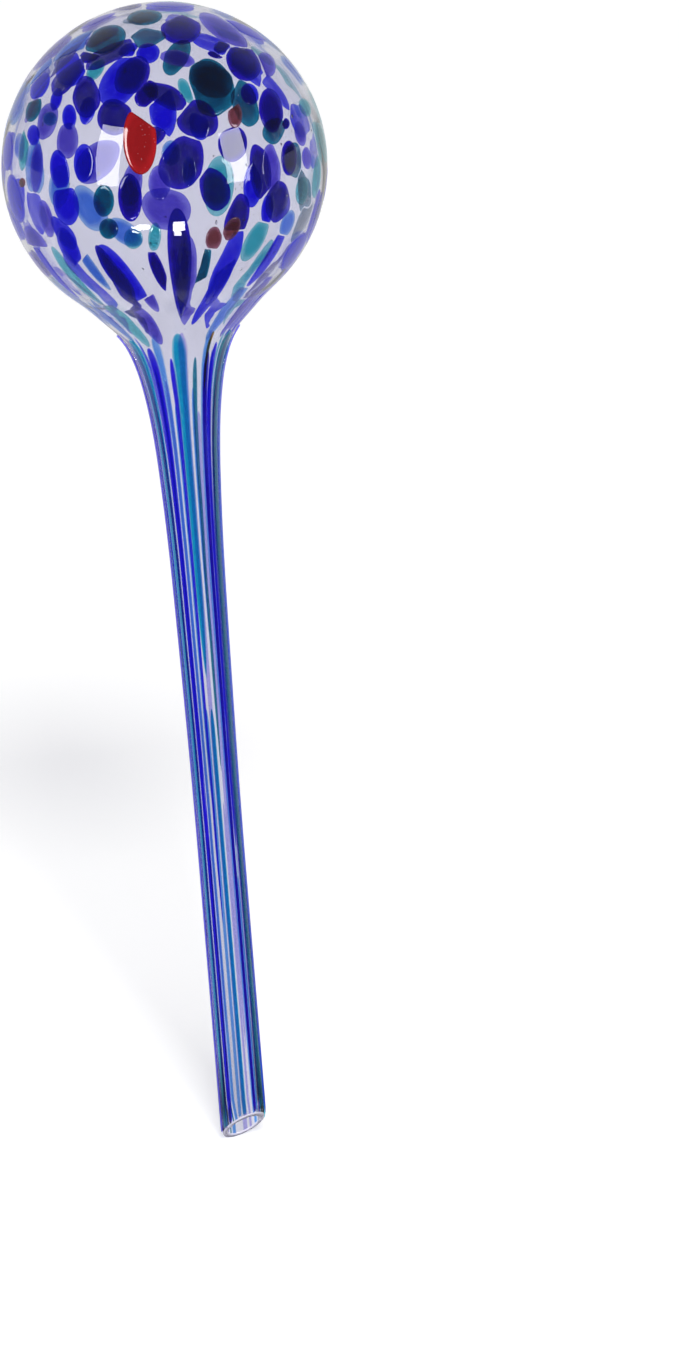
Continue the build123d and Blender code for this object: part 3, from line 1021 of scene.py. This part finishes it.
def bright_behind(nodes, links, coordinate, turns_bright):
    """The mirrored room's light, dim in front of the globe and brighter behind it."""
    place = nodes.new("ShaderNodeTexCoord")
    split = nodes.new("ShaderNodeSeparateXYZ")
    links.new(place.outputs[coordinate], split.inputs[0])
    grey = nodes.new("ShaderNodeMapRange")
    grey.inputs["From Min"].default_value = turns_bright[0]
    grey.inputs["From Max"].default_value = turns_bright[1]
    grey.inputs["To Min"].default_value = room_in_front
    grey.inputs["To Max"].default_value = room_behind
    links.new(split.outputs["Y"], grey.inputs["Value"])
    return grey.outputs[0]


def bright_at_the_tip(nodes, links, light):
    """The mirrored table's light, brighter close round the tip."""
    place = nodes.new("ShaderNodeTexCoord")
    from_tip = nodes.new("ShaderNodeVectorMath")
    from_tip.operation = "LENGTH"
    links.new(place.outputs["Object"], from_tip.inputs[0])
    close = nodes.new("ShaderNodeMapRange")
    close.inputs["From Min"].default_value = table_fades[0]
    close.inputs["From Max"].default_value = table_fades[1]
    close.inputs["To Min"].default_value = table_at_tip
    close.inputs["To Max"].default_value = 0
    links.new(from_tip.outputs["Value"], close.inputs["Value"])
    brighter = nodes.new("ShaderNodeMath")
    brighter.operation = "MAXIMUM"
    links.new(light, brighter.inputs[0])
    links.new(close.outputs[0], brighter.inputs[1])
    return brighter.outputs[0]


def lay_floor():
    """A white table that reaches to the white background and keeps the globe's soft shadow. Dark glass
    mirrors it dimly, so that its colour stays deep."""
    bpy.ops.object.select_all(action="DESELECT")
    bpy.ops.mesh.primitive_plane_add(size=floor_size)
    floor = bpy.context.object
    floor.name = "floor"
    material, nodes, links = new_material("white_table")
    matt = nodes.new("ShaderNodeBsdfDiffuse")
    matt.inputs["Color"].default_value = table_colour
    dim = nodes.new("ShaderNodeEmission")
    table_light = bright_behind(nodes, links, "Object", table_turns_bright)
    links.new(bright_at_the_tip(nodes, links, table_light), dim.inputs["Strength"])
    glow = nodes.new("ShaderNodeEmission")
    glow.inputs["Strength"].default_value = table_glow
    ray = nodes.new("ShaderNodeLightPath")
    both = nodes.new("ShaderNodeAddShader")
    output = nodes.new("ShaderNodeOutputMaterial")
    links.new(matt.outputs[0], both.inputs[0])
    links.new(glow.outputs[0], both.inputs[1])
    plain = nodes.new("ShaderNodeMixShader")
    links.new(ray.outputs["Is Diffuse Ray"], plain.inputs[0])
    links.new(both.outputs[0], plain.inputs[1])
    links.new(matt.outputs[0], plain.inputs[2])
    mirrored = nodes.new("ShaderNodeMixShader")
    links.new(seen_in_a_shine(nodes, links, ray), mirrored.inputs[0])
    links.new(plain.outputs[0], mirrored.inputs[1])
    links.new(dim.outputs[0], mirrored.inputs[2])
    links.new(mirrored.outputs[0], output.inputs["Surface"])
    dress(floor, material)


def hang_lamp(name, place, towards, width, height, strength, seen_as):
    """A rectangular lamp that shines towards a point, seen as light or as a shine."""
    data = bpy.data.lights.new(name, "AREA")
    data.shape = "RECTANGLE"
    data.size = width
    data.size_y = height
    data.energy = strength * width * height * pi
    lamp = bpy.data.objects.new(name, data)
    lamp.location = place
    lamp.rotation_euler = (place - towards).to_track_quat("Z", "Y").to_euler()
    lamp.visible_camera = False
    lamp.visible_transmission = False
    lamp.visible_diffuse = seen_as == "light"
    lamp.visible_glossy = seen_as == "shine"
    bpy.context.collection.objects.link(lamp)


def shine(name, across, up, distance, width, height, strength):
    """A lamp whose reflection lies at a place on the ball, given in shares of its radius."""
    sight_right, sight_up, viewer = sight_frame()
    normal = sight_right * across + sight_up * up + viewer * sqrt(1 - across * across - up * up)
    way = normal * normal.dot(viewer) * 2 - viewer
    spot = ball_centre + normal * ball_radius
    hang_lamp(name, spot + way * distance, spot, width, height, strength, "shine")


def light(name, azimuth, elevation, distance, width, height, strength):
    """A lamp that lights things from a direction. Azimuth is to the right of the camera, in degrees."""
    level = cos(radians(elevation))
    way = Vector((sin(radians(azimuth)) * level, -cos(radians(azimuth)) * level, sin(radians(elevation))))
    hang_lamp(name, ball_centre + way * distance, ball_centre, width, height, strength, "light")


def hang_lamps():
    for row in shines:
        shine(*row)
    light(*key_lamp)


def white_surroundings():
    """White as it is seen straight or through glass, and a dim room as it is mirrored."""
    world = bpy.data.worlds.new("white_studio")
    bpy.context.scene.world = world
    world.use_nodes = True
    nodes, links = world.node_tree.nodes, world.node_tree.links
    nodes.clear()
    ray = nodes.new("ShaderNodeLightPath")
    output = nodes.new("ShaderNodeOutputWorld")
    white = nodes.new("ShaderNodeBackground")
    white.inputs["Color"].default_value = (1, 1, 1, 1)
    dim = nodes.new("ShaderNodeBackground")
    dim.inputs["Color"].default_value = room_light
    room = nodes.new("ShaderNodeBackground")
    room.inputs["Color"].default_value = room_colour
    links.new(bright_behind(nodes, links, "Generated", room_turns_bright), room.inputs["Strength"])
    either = nodes.new("ShaderNodeMixShader")
    any_of = nodes.new("ShaderNodeMixShader")
    links.new(ray.outputs["Is Diffuse Ray"], either.inputs[0])
    links.new(white.outputs[0], either.inputs[1])
    links.new(dim.outputs[0], either.inputs[2])
    links.new(seen_in_a_shine(nodes, links, ray), any_of.inputs[0])
    links.new(either.outputs[0], any_of.inputs[1])
    links.new(room.outputs[0], any_of.inputs[2])
    links.new(any_of.outputs[0], output.inputs["Surface"])


def stand_camera():
    """The photograph's view."""
    pixel = 2 * ball_radius / photo_ball_width
    right, up, viewer = sight_frame()
    place = ball_centre + viewer * camera_distance
    aim = ball_centre + right * photo_middle[0] * pixel + up * photo_middle[1] * pixel
    back = (place - aim).normalized()
    level = up.cross(back).normalized()
    data = bpy.data.cameras.new("camera")
    data.sensor_fit = "VERTICAL"
    data.sensor_height = sensor_height
    data.lens = sensor_height * (place - aim).length / (photo_height * pixel)
    data.clip_end = sight_end
    camera = bpy.data.objects.new("camera", data)
    camera.matrix_world = facing(level, back.cross(level), back, place)
    bpy.context.collection.objects.link(camera)
    bpy.context.scene.camera = camera


lay_floor()
hang_lamps()
white_surroundings()
stand_camera()
bpy.context.scene.view_settings.view_transform = "Standard"
